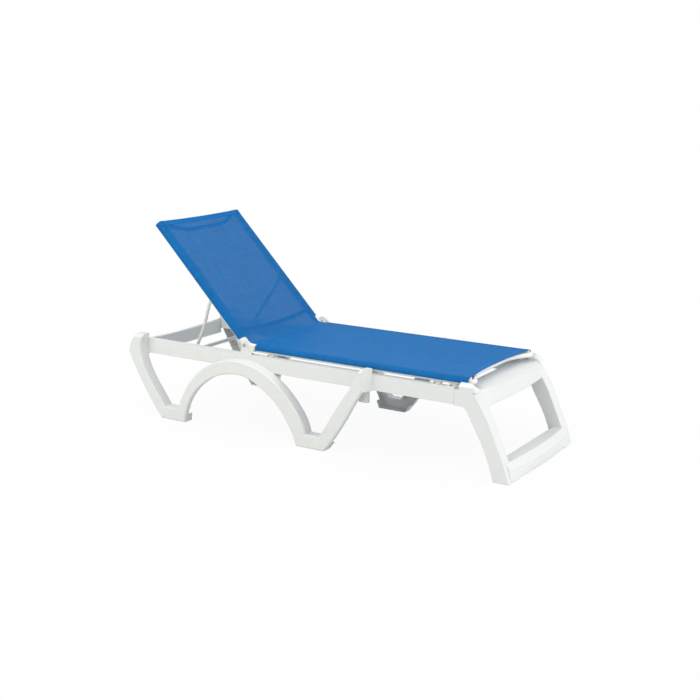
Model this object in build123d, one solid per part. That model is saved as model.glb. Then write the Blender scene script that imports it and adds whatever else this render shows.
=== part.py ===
from build123d import *
import math
import os

# Stacking sling chaise lounge: a white moulded base, a white tube frame and one blue mesh sling.
# Millimetres, +Z up, +X towards the foot end, origin on the floor under the middle of the base.

# Base, seen from the side
HEAD_X = -962.0          # bulge of the head legs
BAND_LENGTH = 1295.0     # from that bulge to the knuckle of the middle legs
RAIL_TOP = 347.0
RAIL_HEIGHT = 63.0
RAIL_WIDTH = 36.0
RAIL_FOOT_X = 704.0      # where the side rails meet the foot-end frame

# Base, seen from the foot end
BASE_WIDTH = 718.0
BAND_DEPTH = 50.0        # how far the legs and the arch stand proud of the rails

# Moulding
PLATE = 4.5              # outer plate of a moulded channel
WALL = 4.0               # its side walls
RIB = 3.0
STRIP_STEPS = 2          # steps from one outline point to the next in a wall's strip
EDGE_ROUND = 4.0         # bevel round the outer faces
ARCH_LIP = 24.0          # depth of the lip under the arch and behind the middle leg
LIP_START = 34.0         # height over the floor where that lip begins
POST_HEIGHT = 30.0       # stacking posts over the rail top
POST_BEVEL = 16.0
OVERRUN = 2.0            # how far a cutter runs past the face that it cuts
FIT = 0.3                # gap between two plastic mouldings
SOFT_GAP = 0.4           # gap between the mesh and what carries it

# Foot-end frame
FRAME_FOOT_X = 944.0     # outer corner of the foot-end legs on the floor
FOOT_BOW = 14.0          # outward bow of the bottom bar at the floor
BAR_BOW = 30.0           # outward bow of its ridge
WINDOW_BOW = 14.0        # outward bow of the fascia's lower edge
DECK_BOW = 51.0          # outward bow of the deck
DECK_TOP = 343.0
FASCIA_LOW = 280.0
BAR_RIDGE = 50.0
BAR_TOP = 74.0
PAD_STEP = 6.0           # how far the bottom bar stays off the floor between its pads
PAD_WIDTH = 125.0
LEG_FACE = 54.0          # width of a foot-end leg, seen from the foot end
EAR_WIDTH = 35.0
EAR_LENGTH = 74.0
EAR_HEIGHT = 29.0
SPIGOT_LENGTH = 45.0
EAR_START = 22.0
EAR_BEVEL = 14.0
EAR_SLOPE = 30.0
FASCIA_BOW = 19.0
BAR_LEAN = 12.0          # ridge behind the foot of the bar
BAR_SLOPE = 14.0         # top of its sloped face behind the ridge
BAR_BACK = 64.0
LEG_SKIN = 5.0
DECK_RIBS = 5

LUG_LENGTH = 40.0
LUG_WIDTH = 19.0
LUG_DROP = 58.0

# Head crossbar
BAR_RIBS = 7
BAR_IN_X = -935.0        # its inner face
BAR_LOW = 262.0
BAR_END_TOP = 335.0      # top edge beside the rails
BAR_DIP = 10.0           # how far that edge dips in the middle
BAR_SCREW_Z = 300.0

# Sling frame
TUBE_R = 16.0            # side rails of the sling
TUBE_WALL = 3.8
CROSS_R = 9.5            # cross tubes
CROSS_WALL = 1.6
TUBE_Y = 270.0           # side rail centre from the middle plane
SEAT_Z = 371.0           # side rail centre over the floor
SEAT_HEAD_X = -287.0
SEAT_FOOT_X = 748.0
SPLINE_R = 2.0
GROOVE_R = 2.4
GROOVE_PITCH_R = 13.0    # groove centre from the rail centre
GROOVE_MOUTH = 1.6
GROOVE_ANGLE = 118.0     # from the top of the rail, round its outer side
ELBOW_R = 14.0
BOW_R = 220.0            # bend of the bowed tubes beside their straight middle
BOW_Y = 165.0            # where that bend is, from the middle
PLUG_LENGTH = 26.0
PLUG_FLANGE = 3.0
FOOT_CORNER_REACH = 29.0 # corner of the bowed foot-end tube, past the side rails
FOOT_TUBE_DIP = 65.0     # how far the foot-end tube bows in at the middle
TUBE_ENTRY = 20.0        # how far the cross tube reaches into the side rail
WELD = 0.1               # welded tubes' saddle gap
GROOVE_BOSS = 1.0        # metal round the groove
SEAT_TUBE_X = -215.0     # straight cross tube near the hinge
MID_TUBE_X = 250.0       # straight cross tube under the seat

# Back
HINGE_X = -324.0
HINGE_Z = 387.0
BACK_ANGLE = 45.7        # degrees over the horizontal, at rest
BACK_LENGTH = 692.0      # from the hinge to the top end of the side rails
BACK_TAIL = 20.0         # side rail past the hinge
TOP_CORNER_REACH = 31.0  # corner of the bowed top tube, past the side rails
TOP_TUBE_DIP = 80.0
LOWER_TUBE_S = 86.0
LOWER_TUBE_DIP = 18.0

# Hinge
KNUCKLE_R = 21.0
CHEEK = 6.0
CHEEK_GAP = 0.5
BRACKET_R = 11.0
BRACKET_PLATE = 4.0
BRACKET_WALL = 4.5
CHEEK_HALF = 12.0
TAIL_LIFT = -1.0
TAIL_WIDTH = 18.0
BRACKET_FOOT = 62.0
BRACKET_SHIFT = 8.0
BOLT_R = 4.0
BOLT_HEAD_R = 7.5
BOLT_HEAD = 4.5
BOLT_RUNNING = 0.06

# Prop
PROP_PIVOT_S = 289.0
PROP_X = -699.0          # rod centre at rest
PROP_Z = 297.0
PROP_R = 8.5
PROP_LEG_R = 7.5
PROP_EYE_R = 11.0
PROP_EYE = 6.0
PROP_TOP_Y = 242.5
PROP_ROD_HALF = 243.0
ROD_CAP = 6.0
ROD_CAP_R = 9.5
PIN_R = 4.0
PIN_FIT = 0.1
PIN_HEAD_R = 7.0
PIN_HEAD = 2.5
BOSS_R = 9.0
PROP_STRAIGHT = 60.0     # leg's straight top
PROP_BEND = 210.0        # where its lower straight part begins
PROP_FOOT_Y = 194.0
PROP_BEND_R = 90.0
PROP_BEND_Y = 202.0
PROP_RATIO = 2.32        # turn of the prop against the back for each degree of recline

# Racks
RACK_GAP = 0.8           # between the rod's caps and the racks: the opened pivot
RACK_FLOOR = 5.0         # material under a notch
RACK_RISE = 11.0         # teeth over the rod's centre line
RACK_STEPS = (-10.0, -5.0, 0.0, 4.5, 9.0)    # degrees of recline from rest, one notch each
RACK_PLATE = 6.0
RACK_TOP = 337.0
RACK_END = 24.0          # rack past its last notch
RACK_RAMP = 9.0          # how far a tooth's tip leans back
NOTCH_CLEAR = 0.8

# Saddles and screws
SADDLE_LENGTH = 34.0
SADDLE_PLATE = 4.0
SADDLE_RISE = 11.0
SADDLE_IN_Y = 262.0
SADDLE_OUT_Y = 278.0
SADDLE_FOOT_Y = 303.0
SADDLE_X = (-200.0, 612.0, 684.0)
SCREW_R = 2.5
SCREW_HEAD_R = 5.0
SCREW_HEAD = 3.0
SCREW_LENGTH = 22.0
SCREW_CLEAR = 0.1

# Sling
MESH = 1.6
MESH_SAG = 4.0
MESH_WRAP = 113.0        # degrees round the side rail, from its top
MESH_FOOT_REACH = 8.0    # past the foot end of the seat rails
MESH_HEAD_BACK = 4.0     # short of their head end
MESH_TOP_REACH = 12.0    # past the top end of the back rails
MESH_LOW_S = 34.0
MESH_BOW = 26.0          # how far the front edge bows in

# Derived places
OUTER_Y = BASE_WIDTH / 2
RAIL_Y = OUTER_Y - BAND_DEPTH
RAIL_IN_Y = RAIL_Y - RAIL_WIDTH
RAIL_LOW = RAIL_TOP - RAIL_HEIGHT
POST_TOP = RAIL_TOP + POST_HEIGHT
BORE_R = TUBE_R - TUBE_WALL
TUBE_LOW = SEAT_Z - TUBE_R
TUBE_OUT_Y = TUBE_Y + TUBE_R
TUBE_IN_Y = TUBE_Y - TUBE_R
ANGLE = math.radians(BACK_ANGLE)
FOOT_CORNER_X = SEAT_FOOT_X + FOOT_CORNER_REACH
TOP_CORNER_S = BACK_LENGTH + TOP_CORNER_REACH
MESH_FOOT_X = SEAT_FOOT_X + MESH_FOOT_REACH
MESH_HEAD_X = SEAT_HEAD_X + MESH_HEAD_BACK
MESH_TOP_S = BACK_LENGTH + MESH_TOP_REACH

# Outlines, as shares of the band's length from its bulge and of the rail top over the floor.
# Each row is a point that the outline passes through.
HEAD_LEG_OUTER_SHARES = ((0.143, 0.0), (0.0625, 0.412), (0.0, 0.841))
HEAD_POST_SHARES = ((0.0, 0.841), (0.012, 0.965), (0.034, 1.086), (0.070, 1.086), (0.058, 0.98))
HEAD_LEG_INNER_SHARES = ((0.058, 0.98), (0.0585, 0.82), (0.0795, 0.605), (0.1605, 0.167))
ARCH_OUTER_SHARES = (
    (0.222, 0.160), (0.2365, 0.288), (0.2637, 0.473), (0.3065, 0.663), (0.3591, 0.810),
    (0.4333, 0.916), (0.5042, 0.939), (0.5708, 0.893), (0.6525, 0.735), (0.6957, 0.597),
    (0.7297, 0.452), (0.7552, 0.303), (0.7667, 0.167),
)
ARCH_INNER_SHARES = (
    (0.251, 0.0), (0.2772, 0.303), (0.312, 0.476), (0.3537, 0.605), (0.4015, 0.700), (0.4733, 0.760),
    (0.5205, 0.753), (0.5985, 0.622), (0.6425, 0.504), (0.6764, 0.366), (0.7066, 0.193), (0.7282, 0.0),
)
MIDDLE_LEG_INNER_SHARES = ((0.8185, 0.167), (0.8571, 0.380), (0.8988, 0.620), (0.9436, 0.865), (0.968, 1.037))
KNUCKLE_TOP_SHARES = ((0.968, 1.037), (0.980, 1.083), (1.0, 1.083), (1.0, 0.808), (0.9815, 0.808))
MIDDLE_LEG_OUTER_SHARES = ((0.9815, 0.808), (0.9722, 0.755), (0.9228, 0.450), (0.8811, 0.210), (0.837, 0.0))
POST_SOLID_SHARES = (0.078, 0.93)        # solid head posts: up to here along X, and over this height
KNUCKLE_SOLID_SHARES = (0.952, 0.80)     # solid knuckles: from here along X, and over this height
SPIGOT_SCREW_SHARES = (0.35, 0.65)
RACK_SCREW_SHARES = (0.06, 0.5, 0.94)
RIB_SHARES = (
    (0.050, 0.60, 24.0), (0.090, 0.30, 28.0), (0.250, 0.20, -80.0), (0.288, 0.42, -55.0),
    (0.345, 0.64, -35.0), (0.430, 0.835, 8.0), (0.5, 0.85, -90.0), (0.585, 0.74, 32.0),
    (0.655, 0.60, 42.0), (0.705, 0.40, 55.0), (0.865, 0.25, -30.0), (0.915, 0.50, -32.0),
)
# Foot-end leg, as shares of its reach from the side rail's end and of the deck height.
FRAME_BACK_SHARES = ((0.725, 0.0), (0.642, 0.195), (0.483, 0.455), (0.321, 0.659), (0.179, 0.805), (0.067, 0.825))
FASCIA_SHARE = 0.465
FRAME_FRONT_SHARES = ((1.0, 0.0), (0.8875, 0.2274), (0.754, 0.452), (0.625, 0.656), (0.4667, 0.854), (0.3083, 1.0))


def band_point(share):
    """A point of the side view, from its two shares."""
    return (HEAD_X + share[0] * BAND_LENGTH, share[1] * RAIL_TOP)


def band_points(shares):
    return [band_point(share) for share in shares]


def side_plane(depth):
    """The side view's plane at a depth from the middle, facing out of the right-hand side."""
    return Plane(origin=(0, -depth, 0), x_dir=(1, 0, 0), z_dir=(0, -1, 0))


def slab(x_range, y_range, z_range):
    """A block between two corners."""
    size = [abs(b - a) for a, b in (x_range, y_range, z_range)]
    middle = [(a + b) / 2 for a, b in (x_range, y_range, z_range)]
    return Pos(*middle) * Box(*size)


def rod(start, end, radius):
    """A round bar from one point to another."""
    line = Vector(*end) - Vector(*start)
    plane = Plane(origin=start, z_dir=line)
    return extrude(plane * Circle(radius), amount=line.length)


def left_of(part):
    """The same piece on the left-hand side."""
    return mirror(part, about=Plane.XZ)


def back_point(s, y, n=0):
    """A point on the reclined back: s up the back from the hinge, n over the side rails' centres."""
    lift = n - TUBE_R
    x = HINGE_X - s * math.cos(ANGLE) + lift * math.sin(ANGLE)
    z = HINGE_Z + s * math.sin(ANGLE) + lift * math.cos(ANGLE)
    return (x, y, z)


def back_plane(s, y):
    """Square to the back's side rails: x runs outwards to the right, y over the back."""
    along = (-math.cos(ANGLE), 0, math.sin(ANGLE))
    return Plane(origin=back_point(s, y), x_dir=(0, -1, 0), z_dir=along)


def screw(start, direction, length=SCREW_LENGTH, clear=0.0):
    """A pan-head screw: its head's seat is at start, its shank runs along direction."""
    unit = Vector(*direction).normalized()
    shank = Plane(origin=start, z_dir=unit)
    head = Plane(origin=start, z_dir=unit * -1)
    shank_part = extrude(shank * Circle(SCREW_R + clear), amount=length + clear)
    return shank_part + extrude(head * Circle(SCREW_HEAD_R + clear), amount=SCREW_HEAD + clear)


# Base mouldings

def band_outline():
    """The closed outline of legs, feet and arch, as one face."""
    runs = [
        HEAD_LEG_OUTER_SHARES, HEAD_POST_SHARES, HEAD_LEG_INNER_SHARES, ARCH_OUTER_SHARES,
        MIDDLE_LEG_INNER_SHARES, KNUCKLE_TOP_SHARES, MIDDLE_LEG_OUTER_SHARES,
        tuple(reversed(ARCH_INNER_SHARES)),
    ]
    straight = (HEAD_POST_SHARES, KNUCKLE_TOP_SHARES)
    edges = []
    for run in runs:
        points = band_points(run)
        edges += [Polyline(*points)] if run in straight else [Spline(*points)]
    joins = []
    for before, after in zip(runs, runs[1:] + runs[:1]):
        if before[-1] != after[0]:
            joins.append(Line(band_point(before[-1]), band_point(after[0])))
    wires = Wire.combine([edge for curve in edges + joins for edge in curve.edges()])
    return make_face(wires[0].edges())


def thick_curve(points, half):
    """A strip of even width on both sides of the curve through some points, past both its ends."""
    curve = Spline(*points)
    count = STRIP_STEPS * len(points)
    sides = [[], []]
    for index in range(count + 1):
        at = index / count
        place, along = curve @ at, curve % at
        if index == 0:
            place = place - along * half
        if index == count:
            place = place + along * half
        for side, sign in zip(sides, (1, -1)):
            side.append((place.X - sign * along.Y * half, place.Y + sign * along.X * half))
    first, second = sides
    curves = [Spline(*first), Spline(*second), Line(first[0], second[0]), Line(first[-1], second[-1])]
    return make_face([edge for curve in curves for edge in curve.edges()])


def thick_lines(points, half):
    """The same strip along straight lines."""
    strips = []
    for (x0, z0), (x1, z1) in zip(points, points[1:]):
        length = math.hypot(x1 - x0, z1 - z0) + 2 * half
        turn = math.degrees(math.atan2(z1 - z0, x1 - x0))
        strips.append(Pos((x0 + x1) / 2, (z0 + z1) / 2) * Rot(0, 0, turn) * Rectangle(length, 2 * half))
    return strips


def block(x0, x1, z0, z1):
    """A rectangle in the side view."""
    return Pos((x0 + x1) / 2, (z0 + z1) / 2) * Rectangle(x1 - x0, z1 - z0)


def channel_inside():
    """The outline drawn in by the thickness of the side walls."""
    face = band_outline()
    for run in (HEAD_LEG_OUTER_SHARES, HEAD_LEG_INNER_SHARES, ARCH_OUTER_SHARES, ARCH_INNER_SHARES,
                MIDDLE_LEG_INNER_SHARES, MIDDLE_LEG_OUTER_SHARES):
        face -= thick_curve(band_points(run), WALL)
    soles = [(HEAD_LEG_OUTER_SHARES[0], ARCH_INNER_SHARES[0]), (ARCH_INNER_SHARES[-1], MIDDLE_LEG_OUTER_SHARES[-1])]
    shelves = [(HEAD_LEG_INNER_SHARES[-1], ARCH_OUTER_SHARES[0]), (ARCH_OUTER_SHARES[-1], MIDDLE_LEG_INNER_SHARES[0])]
    for run in soles + shelves + [HEAD_POST_SHARES, KNUCKLE_TOP_SHARES]:
        for strip in thick_lines(band_points(run), WALL):
            face -= strip
    post_x, post_z = band_point(POST_SOLID_SHARES)
    knuckle_x, knuckle_z = band_point(KNUCKLE_SOLID_SHARES)
    face -= block(HEAD_X, post_x, post_z, POST_TOP)
    return face - block(knuckle_x, RAIL_FOOT_X, knuckle_z, POST_TOP)


def right_band():
    """Legs and arch as one moulded channel that is open towards the middle of the lounge."""
    outer = extrude(side_plane(OUTER_Y) * band_outline(), amount=-BAND_DEPTH)
    rim = outer.faces().sort_by(Axis.Y)[0].edges()
    outer = chamfer(rim, EDGE_ROUND)
    cavity = extrude(side_plane(OUTER_Y - PLATE) * channel_inside(), amount=-BAND_DEPTH)
    lip_depth = BAND_DEPTH - ARCH_LIP
    over_lip = slab((HEAD_X, RAIL_FOOT_X), (-OUTER_Y, -RAIL_IN_Y), (LIP_START, RAIL_LOW - WALL))
    band = outer - cavity
    for shares in (ARCH_INNER_SHARES, MIDDLE_LEG_OUTER_SHARES):
        strip = thick_curve(band_points(shares), WALL + WELD)
        band -= extrude(side_plane(RAIL_Y - OVERRUN) * strip, amount=lip_depth + OVERRUN) & over_lip
    return band, outer


def right_ribs(outer):
    """Thin ribs across the channel."""
    ribs = None
    reach = PLATE / 2
    for along, up, turn in RIB_SHARES:
        x, z = band_point((along, up))
        depth = BAND_DEPTH - ARCH_LIP
        y = -(OUTER_Y - reach - depth / 2)
        plate = Pos(x, y, z) * Rot(0, turn, 0) * Box(RIB, depth, BAND_DEPTH + BAND_DEPTH)
        plate = plate & outer
        ribs = plate if ribs is None else ribs + plate
    return ribs


def right_rail():
    """The side rail, an upturned channel with ribs under its top."""
    whole = slab((HEAD_X, RAIL_FOOT_X), (-RAIL_Y, -RAIL_IN_Y), (RAIL_LOW, RAIL_TOP))
    inside = (-RAIL_Y + WALL, -RAIL_IN_Y - WALL)
    cavity = slab((HEAD_X + PLATE + EDGE_ROUND * 4, RAIL_FOOT_X + OVERRUN), inside, (RAIL_LOW - OVERRUN, RAIL_TOP - WALL))
    rail = whole - cavity
    pitch = RAIL_HEIGHT * 2
    count = int((RAIL_FOOT_X - SPIGOT_LENGTH - HEAD_X) / pitch)
    for index in range(1, count):
        x = HEAD_X + index * pitch
        rail += slab((x, x + RIB), inside, (RAIL_TOP - RAIL_HEIGHT / 2, RAIL_TOP - WALL / 2))
    return rail


def beyond_head(width):
    """Everything past the head legs' outer curve, for trimming what ends flush with it."""
    points = band_points(HEAD_LEG_OUTER_SHARES[1:] + HEAD_POST_SHARES[1:3])
    far = HEAD_X - BAND_DEPTH
    lines = [Spline(*points), Polyline(points[-1], (far, points[-1][1]), (far, points[0][1]), points[0])]
    face = make_face([edge for curve in lines for edge in curve.edges()])
    return extrude(side_plane(width) * face, amount=-2 * width)


def right_side_frame():
    band, outer = right_band()
    frame = band + right_rail() + right_ribs(outer)
    frame -= beyond_head(OUTER_Y)
    # Knuckle of the middle legs: its foot side slants towards the rail
    share_out, share_in = MIDDLE_LEG_OUTER_SHARES[0][0], KNUCKLE_TOP_SHARES[2][0]
    x_out, x_in = band_point((share_out, 0))[0], band_point((share_in, 0))[0]
    corners = [(x_out, -OUTER_Y), (x_in, -RAIL_Y), (x_in + OVERRUN, -RAIL_Y), (x_in + OVERRUN, -OUTER_Y - OVERRUN),
               (x_out, -OUTER_Y - OVERRUN)]
    knuckle_low = band_point(KNUCKLE_TOP_SHARES[3])[1] - OVERRUN
    wedge = make_face(Polyline(*corners, close=True).edges())
    frame -= extrude(Plane.XY.offset(knuckle_low) * wedge, amount=POST_TOP)
    # Bevels along the outer top edges of posts and knuckles
    low, high = POST_TOP - POST_BEVEL, POST_TOP + OVERRUN
    slope = [(-OUTER_Y - OVERRUN, low - OVERRUN), (-OUTER_Y + POST_BEVEL + OVERRUN, high), (-OUTER_Y - OVERRUN, high)]
    bevel = make_face(Polyline(*slope, close=True).edges())
    frame -= extrude(Plane.YZ.offset(HEAD_X) * bevel, amount=RAIL_FOOT_X - HEAD_X)
    # Lug that locks the next lounge of a stack, under the rail behind the middle leg
    lug_x = x_out - LUG_LENGTH
    lug = slab((lug_x, x_out), (-RAIL_Y, -RAIL_Y + LUG_WIDTH), (RAIL_LOW - LUG_DROP, RAIL_LOW + WALL))
    frame += lug
    for hole in spigot_screws() + bracket_screw_set(SCREW_CLEAR) + rack_screw_set(SCREW_CLEAR):
        frame -= hole
    for hole in crossbar_screws(SCREW_CLEAR) + saddle_screw_set(SCREW_CLEAR):
        frame -= hole
    return frame


# Screws of the right-hand side

def spigot_screws(clear=SCREW_CLEAR):
    """Two screws through the side rail's inner wall into the foot-end frame's spigot."""
    screws = []
    for share in SPIGOT_SCREW_SHARES:
        z = RAIL_LOW + RAIL_HEIGHT * share
        x = RAIL_FOOT_X - SPIGOT_LENGTH / 2
        screws.append(screw((x, -RAIL_IN_Y, z), (0, -1, 0), clear=clear))
    return screws


def crossbar_screws(clear=0.0):
    """One screw through the crossbar's end wall and the side rail's inner wall."""
    x = (HEAD_X + BAR_IN_X) / 2 + WALL / 2
    return [screw((x, -(RAIL_IN_Y - FIT - WALL), BAR_SCREW_Z), (0, -1, 0), clear=clear)]


def bracket_screw_set(clear=0.0):
    y = -(TUBE_OUT_Y + CHEEK_GAP + CHEEK)
    z = RAIL_TOP + BRACKET_PLATE
    reach = BRACKET_FOOT / 2 - SCREW_HEAD_R - WELD
    places = (HINGE_X + BRACKET_SHIFT - reach, HINGE_X + BRACKET_SHIFT + reach)
    return [screw((x, y, z), (0, 0, -1), clear=clear) for x in places]


def rack_screw_set(clear=0.0):
    start, end = rack_reach()
    y = -(RAIL_IN_Y - FIT - RACK_PLATE)
    z = RACK_TOP - 2 * SCREW_HEAD_R
    places = [start + (end - start) * share for share in RACK_SCREW_SHARES]
    return [screw((x, y, z), (0, -1, 0), clear=clear) for x in places]


def saddle_screw_set(clear=0.0):
    y = -(SADDLE_FOOT_Y - SCREW_HEAD_R - WALL / 2)
    z = RAIL_TOP + SADDLE_PLATE
    return [screw((x, y, z), (0, 0, -1), clear=clear) for x in SADDLE_X]


# Head crossbar

def head_crossbar():
    """A bar between the side rails at the head end, open below, with a dished top edge."""
    half = RAIL_IN_Y - FIT
    outline = [
        Line((-half, BAR_LOW), (half, BAR_LOW)),
        Line((half, BAR_LOW), (half, BAR_END_TOP)),
        ThreePointArc((half, BAR_END_TOP), (0, BAR_END_TOP - BAR_DIP), (-half, BAR_END_TOP)),
        Line((-half, BAR_END_TOP), (-half, BAR_LOW)),
    ]
    face = make_face([edge for curve in outline for edge in curve.edges()])
    bar = extrude(Plane.YZ.offset(HEAD_X) * face, amount=BAR_IN_X - HEAD_X)
    bar -= beyond_head(OUTER_Y)
    bar = fillet(bar.edges().filter_by(GeomType.CIRCLE), WALL)
    span = (HEAD_X + 2 * WALL, BAR_IN_X - WALL)
    top = BAR_END_TOP - BAR_DIP - EDGE_ROUND - WALL
    bar -= slab(span, (-half + WALL, half - WALL), (BAR_LOW - OVERRUN, top))
    pitch = (2 * half) / (BAR_RIBS + 1)
    for index in range(1, BAR_RIBS + 1):
        y = -half + index * pitch
        bar += slab((span[0] - WALL, span[1] + WALL / 2), (y - RIB / 2, y + RIB / 2), (BAR_LOW + RIB, top + RIB))
    for hole in crossbar_screws(SCREW_CLEAR):
        bar -= hole
        bar -= left_of(hole)
    return bar


# Foot-end frame

def frame_points(shares):
    """Points of the foot-end leg's side view."""
    reach = FRAME_FOOT_X - RAIL_FOOT_X
    return [(RAIL_FOOT_X + along * reach, up * DECK_TOP) for along, up in shares]


def bowed_section(z, rear, corner, half, bow):
    """A plan section at height z: straight behind and bowed outwards in front."""
    front = ThreePointArc((corner, -half), (corner + bow, 0), (corner, half))
    sides = Polyline((corner, half), (rear, half), (rear, -half), (corner, -half))
    return Plane.XY.offset(z) * make_face(front.edges() + sides.edges())


def deck_body(inset, low, high):
    """Deck and fascia, drawn in by an inset."""
    reach = FRAME_FOOT_X - RAIL_FOOT_X
    top_x = RAIL_FOOT_X + reach * FRAME_FRONT_SHARES[-1][0] - inset
    low_x = RAIL_FOOT_X + reach * FASCIA_SHARE - inset
    rear = RAIL_FOOT_X + FIT + inset
    half = RAIL_Y - inset
    lower = bowed_section(low, rear, low_x, half, FASCIA_BOW)
    return loft([lower, bowed_section(high, rear, top_x, half, DECK_BOW)])


def bar_body(inset):
    """The bottom bar: its face slopes out from the legs to a bowed ridge."""
    foot = FRAME_FOOT_X - inset
    ridge = foot - BAR_LEAN
    top = ridge - BAR_SLOPE
    half = RAIL_Y - LEG_FACE / 2
    rear = FRAME_FOOT_X - BAR_BACK + inset
    low = bowed_section(-OVERRUN if inset else 0, rear, foot, half, FOOT_BOW)
    middle = bowed_section(BAR_RIDGE - inset / 2, rear, ridge, half, BAR_BOW)
    high = bowed_section(BAR_TOP - inset, rear, top, half, WINDOW_BOW)
    return loft([low, middle], ruled=True) + loft([middle, high], ruled=True)


def right_frame_leg():
    """A foot-end leg, hollow from behind."""
    back, front = frame_points(FRAME_BACK_SHARES), frame_points(FRAME_FRONT_SHARES)
    curves = [Spline(*back), Spline(*front), Line(front[0], back[0])]
    curves.append(Polyline(back[-1], (RAIL_FOOT_X + FIT, back[-1][1]),
                           (RAIL_FOOT_X + FIT, DECK_TOP), front[-1]))
    face = make_face([edge for curve in curves for edge in curve.edges()])
    leg = extrude(side_plane(RAIL_Y) * face, amount=-LEG_FACE)
    hollow_face = Pos(-LEG_SKIN, 0) * face
    hollow = extrude(side_plane(RAIL_Y - WALL) * hollow_face, amount=-(LEG_FACE - 2 * WALL))
    return leg, hollow


def foot_end_frame():
    leg, hollow = right_frame_leg()
    deck = deck_body(0, FASCIA_LOW, DECK_TOP)
    bar = bar_body(0)
    frame = deck + leg + left_of(leg) + bar
    keep_foot = slab((RAIL_FOOT_X, FRAME_FOOT_X), (-RAIL_Y, RAIL_Y), (PAD_STEP, DECK_TOP - WALL))
    frame -= (hollow + left_of(hollow)) & keep_foot
    frame -= deck_body(WALL, FASCIA_LOW - OVERRUN, DECK_TOP - WALL)
    inner_bar = bar_body(WALL)
    half = RAIL_Y - LEG_FACE
    frame -= inner_bar & slab((HEAD_X, -HEAD_X), (-half, half), (-OVERRUN, BAR_TOP))
    raised = slab((RAIL_FOOT_X, -HEAD_X), (-half - LEG_FACE / 2 + PAD_WIDTH / 2, half + LEG_FACE / 2 - PAD_WIDTH / 2),
                  (-OVERRUN, PAD_STEP))
    frame -= raised
    # Ribs under the deck and in the bar
    for index in range(1, DECK_RIBS + 1):
        y = -RAIL_IN_Y + index * 2 * RAIL_IN_Y / (DECK_RIBS + 1)
        rib = slab((RAIL_FOOT_X + FIT, FRAME_FOOT_X), (y - RIB / 2, y + RIB / 2), (FASCIA_LOW, DECK_TOP))
        frame += rib & deck_body(0, FASCIA_LOW, DECK_TOP)
    # Ears beside the sling's side rails
    ear_x = RAIL_FOOT_X + EAR_START
    ear = slab((ear_x, ear_x + EAR_LENGTH), (-RAIL_Y, -RAIL_Y + EAR_WIDTH), (DECK_TOP - WALL, DECK_TOP + EAR_HEIGHT))
    top_edges = ear.edges().group_by(Axis.Z)[-1]
    outer = top_edges.sort_by(Axis.Y)[0]
    ear = chamfer(outer, EAR_BEVEL)
    foot_edge = ear.edges().group_by(Axis.Z)[-1].sort_by(Axis.X)[-1]
    ear = chamfer(foot_edge, EAR_HEIGHT - WALL, EAR_SLOPE)
    clear = rod((HEAD_X, -TUBE_Y, SEAT_Z), (-HEAD_X, -TUBE_Y, SEAT_Z), TUBE_R + MESH + 2 * SOFT_GAP)
    ear -= clear
    frame += ear
    frame += left_of(ear)
    # Spigots that fill the ends of the side rails
    inner = WALL + FIT
    spigot = slab((RAIL_FOOT_X - SPIGOT_LENGTH, RAIL_FOOT_X + 2 * WALL), (-RAIL_Y + inner, -RAIL_IN_Y - inner),
                  (RAIL_LOW + FIT, RAIL_TOP - inner))
    for hole in spigot_screws() + saddle_screw_set(SCREW_CLEAR):
        spigot -= hole
    frame += spigot
    frame += left_of(spigot)
    return frame


# Extruded tubes of the sling

def groove_place():
    turn = math.radians(GROOVE_ANGLE)
    return (GROOVE_PITCH_R * math.sin(turn), GROOVE_PITCH_R * math.cos(turn))


def tube_section():
    """A round extrusion with a groove for the sling's edge cord, seen with the outer side to the right."""
    x, y = groove_place()
    mouth = Rot(0, 0, 90 - GROOVE_ANGLE) * Pos(GROOVE_PITCH_R + TUBE_WALL / 2, 0) * Rectangle(TUBE_WALL, GROOVE_MOUTH)
    wall = Circle(TUBE_R) - (Circle(BORE_R) - Pos(x, y) * Circle(GROOVE_R + GROOVE_BOSS))
    return wall - Pos(x, y) * Circle(GROOVE_R) - mouth


def plug_section():
    """What fits the bore beside the groove."""
    x, y = groove_place()
    return Circle(BORE_R - FIT) - Pos(x, y) * Circle(GROOVE_R + GROOVE_BOSS + FIT)


def seat_section(section, start, end):
    """A section of the seat rail, swept between two places. Its outer side points out of the lounge."""
    flipped = Plane(origin=(start, -TUBE_Y, SEAT_Z), x_dir=(0, -1, 0), z_dir=(-1, 0, 0))
    return extrude(flipped * section, amount=-(end - start))


def back_section(section, start, end):
    return extrude(back_plane(start, -TUBE_Y) * section, amount=end - start)


def right_seat_rail():
    rail = seat_section(tube_section(), SEAT_HEAD_X, SEAT_FOOT_X)
    return rail


def right_back_rail():
    rail = back_section(tube_section(), -BACK_TAIL, BACK_LENGTH)
    start, end = back_point(PROP_PIVOT_S, -TUBE_Y), back_point(PROP_PIVOT_S, 0)
    return rail - rod(start, end, PIN_R + PIN_FIT)


def bowed_path(corner, dip, entry, to_world):
    """Centre line of a bowed tube: out of one side rail, round an elbow, across, and back."""
    level = corner - dip
    points = [
        (entry, -TUBE_Y), (corner, -TUBE_Y), (level, -BOW_Y),
        (level, BOW_Y), (corner, TUBE_Y), (entry, TUBE_Y),
    ]
    world = [to_world(along, y) for along, y in points]
    return FilletPolyline(*world, radius=[ELBOW_R, BOW_R, BOW_R, ELBOW_R])


def swept_tube(path, start_plane):
    section = Circle(CROSS_R) - Circle(CROSS_R - CROSS_WALL)
    return sweep(start_plane * section, path=path)


def seat_foot_tube():
    entry = SEAT_FOOT_X - TUBE_ENTRY
    path = bowed_path(FOOT_CORNER_X, FOOT_TUBE_DIP, entry, lambda x, y: (x, y, SEAT_Z))
    return swept_tube(path, Plane(origin=(entry, -TUBE_Y, SEAT_Z), z_dir=(1, 0, 0)))


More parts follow.
